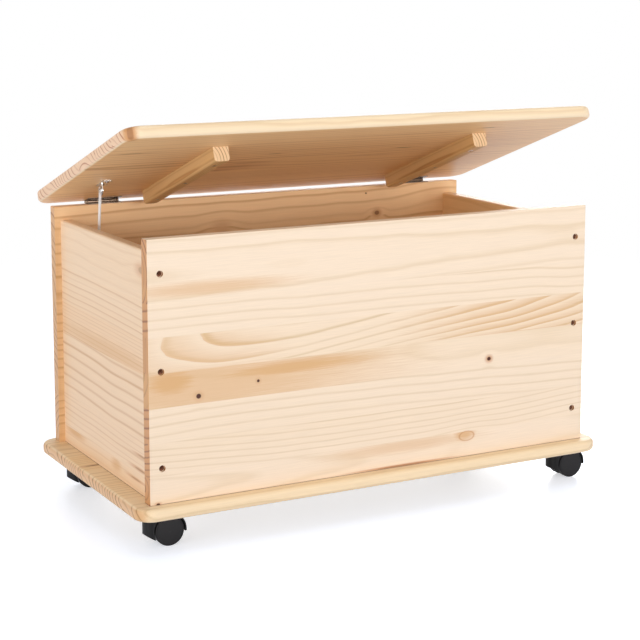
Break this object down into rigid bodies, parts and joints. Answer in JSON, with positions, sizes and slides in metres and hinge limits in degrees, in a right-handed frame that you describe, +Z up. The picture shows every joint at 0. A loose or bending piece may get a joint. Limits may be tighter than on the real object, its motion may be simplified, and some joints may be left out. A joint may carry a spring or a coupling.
{
  "type": "storage chest",
  "caption": "Low pine storage chest on swivel casters: an open box of edge-glued boards on a larger base board, under a hinged lid that a slotted metal stay holds open.",
  "frame": {"origin": "on the floor, under the middle of the base board", "axes": "+Z up; +X along the width, away from the stay; -Y is the front, and the hinges are at +Y"},
  "size_m": [0.808, 0.436, 0.6144],
  "materials": {
    "pine": "clear satin lacquer on edge-glued pine",
    "bronzed_screw": "dark red-brown wood screws",
    "zinc_screw": "zinc-plated wood screws",
    "hinge_steel": "antique-browned steel",
    "zinc_steel": "bright zinc-plated steel",
    "plate_steel": "zinc-plated steel",
    "hood_plastic": "black moulded nylon",
    "wheel_plastic": "black moulded nylon"
  },
  "bodies": {
    "chest": {"base_board": "pine", "front_panel": "pine", "back_panel": "pine", "left_side_panel": "pine", "right_side_panel": "pine", "front_panel_screws": "bronzed_screw", "back_panel_screws": "bronzed_screw", "base_screws": "zinc_screw", "left_hinge_lower_leaf": "hinge_steel", "right_hinge_lower_leaf": "hinge_steel", "left_hinge_pin": "hinge_steel", "right_hinge_pin": "hinge_steel", "hinge_lower_screws": "zinc_screw", "stay_spacer": "zinc_steel", "stay_spring_washer": "zinc_steel", "stay_anchor_screw": "zinc_steel", "caster_plate_screws": "zinc_screw", "front_left_caster_plate": "plate_steel", "front_left_caster_stem": "plate_steel", "front_right_caster_plate": "plate_steel", "front_right_caster_stem": "plate_steel", "rear_left_caster_plate": "plate_steel", "rear_left_caster_stem": "plate_steel", "rear_right_caster_plate": "plate_steel", "rear_right_caster_stem": "plate_steel"},
    "lid": {"lid_board": "pine", "left_batten": "pine", "right_batten": "pine", "batten_screws": "zinc_screw", "left_hinge_upper_leaf": "hinge_steel", "right_hinge_upper_leaf": "hinge_steel", "hinge_upper_screws": "zinc_screw", "stay_bracket": "zinc_steel", "stay_bracket_screws": "zinc_screw", "stay_rivet": "zinc_steel"},
    "stay": {"stay_arm": "zinc_steel"},
    "front_left_swivel": {"front_left_caster_hood": "hood_plastic", "front_left_caster_axle": "plate_steel"},
    "front_left_front_wheel": {"front_left_caster_front_wheel": "wheel_plastic"},
    "front_left_rear_wheel": {"front_left_caster_rear_wheel": "wheel_plastic"},
    "front_right_swivel": {"front_right_caster_hood": "hood_plastic", "front_right_caster_axle": "plate_steel"},
    "front_right_front_wheel": {"front_right_caster_front_wheel": "wheel_plastic"},
    "front_right_rear_wheel": {"front_right_caster_rear_wheel": "wheel_plastic"},
    "rear_left_swivel": {"rear_left_caster_hood": "hood_plastic", "rear_left_caster_axle": "plate_steel"},
    "rear_left_front_wheel": {"rear_left_caster_front_wheel": "wheel_plastic"},
    "rear_left_rear_wheel": {"rear_left_caster_rear_wheel": "wheel_plastic"},
    "rear_right_swivel": {"rear_right_caster_hood": "hood_plastic", "rear_right_caster_axle": "plate_steel"},
    "rear_right_front_wheel": {"rear_right_caster_front_wheel": "wheel_plastic"},
    "rear_right_rear_wheel": {"rear_right_caster_rear_wheel": "wheel_plastic"}
  },
  "joints": [
    {"name": "lid_hinge", "type": "hinge", "parent": "chest", "child": "lid", "pos_m": [0, 0.2053, 0.458], "axis": [-1, 0, 0], "range_deg": [-19.2, 55.8]},
    {"name": "stay_pivot", "type": "hinge", "parent": "lid", "child": "stay", "pos_m": [-0.34275, 0.07651, 0.49258], "axis": [-1, 0, 0], "range_deg": [-27.95, 9.65]},
    {"name": "front_left_swivel_turn", "type": "hinge", "parent": "chest", "child": "front_left_swivel", "pos_m": [-0.359, -0.16, 0.036], "axis": [0, 0, 1], "continuous": true},
    {"name": "front_left_front_wheel_spin", "type": "hinge", "parent": "front_left_swivel", "child": "front_left_front_wheel", "pos_m": [-0.341, -0.1717, 0.0225], "axis": [0, 1, 0], "continuous": true},
    {"name": "front_left_rear_wheel_spin", "type": "hinge", "parent": "front_left_swivel", "child": "front_left_rear_wheel", "pos_m": [-0.341, -0.1483, 0.0225], "axis": [0, 1, 0], "continuous": true},
    {"name": "front_right_swivel_turn", "type": "hinge", "parent": "chest", "child": "front_right_swivel", "pos_m": [0.359, -0.16, 0.036], "axis": [0, 0, 1], "continuous": true},
    {"name": "front_right_front_wheel_spin", "type": "hinge", "parent": "front_right_swivel", "child": "front_right_front_wheel", "pos_m": [0.377, -0.1717, 0.0225], "axis": [0, 1, 0], "continuous": true},
    {"name": "front_right_rear_wheel_spin", "type": "hinge", "parent": "front_right_swivel", "child": "front_right_rear_wheel", "pos_m": [0.377, -0.1483, 0.0225], "axis": [0, 1, 0], "continuous": true},
    {"name": "rear_left_swivel_turn", "type": "hinge", "parent": "chest", "child": "rear_left_swivel", "pos_m": [-0.359, 0.16, 0.036], "axis": [0, 0, 1], "continuous": true},
    {"name": "rear_left_front_wheel_spin", "type": "hinge", "parent": "rear_left_swivel", "child": "rear_left_front_wheel", "pos_m": [-0.341, 0.1483, 0.0225], "axis": [0, 1, 0], "continuous": true},
    {"name": "rear_left_rear_wheel_spin", "type": "hinge", "parent": "rear_left_swivel", "child": "rear_left_rear_wheel", "pos_m": [-0.341, 0.1717, 0.0225], "axis": [0, 1, 0], "continuous": true},
    {"name": "rear_right_swivel_turn", "type": "hinge", "parent": "chest", "child": "rear_right_swivel", "pos_m": [0.359, 0.16, 0.036], "axis": [0, 0, 1], "continuous": true},
    {"name": "rear_right_front_wheel_spin", "type": "hinge", "parent": "rear_right_swivel", "child": "rear_right_front_wheel", "pos_m": [0.377, 0.1483, 0.0225], "axis": [0, 1, 0], "continuous": true},
    {"name": "rear_right_rear_wheel_spin", "type": "hinge", "parent": "rear_right_swivel", "child": "rear_right_rear_wheel", "pos_m": [0.377, 0.1717, 0.0225], "axis": [0, 1, 0], "continuous": true}
  ],
  "couplings": [
    {"joint": "stay_pivot", "follows": "lid_hinge", "ratio": -0.5}
  ]
}
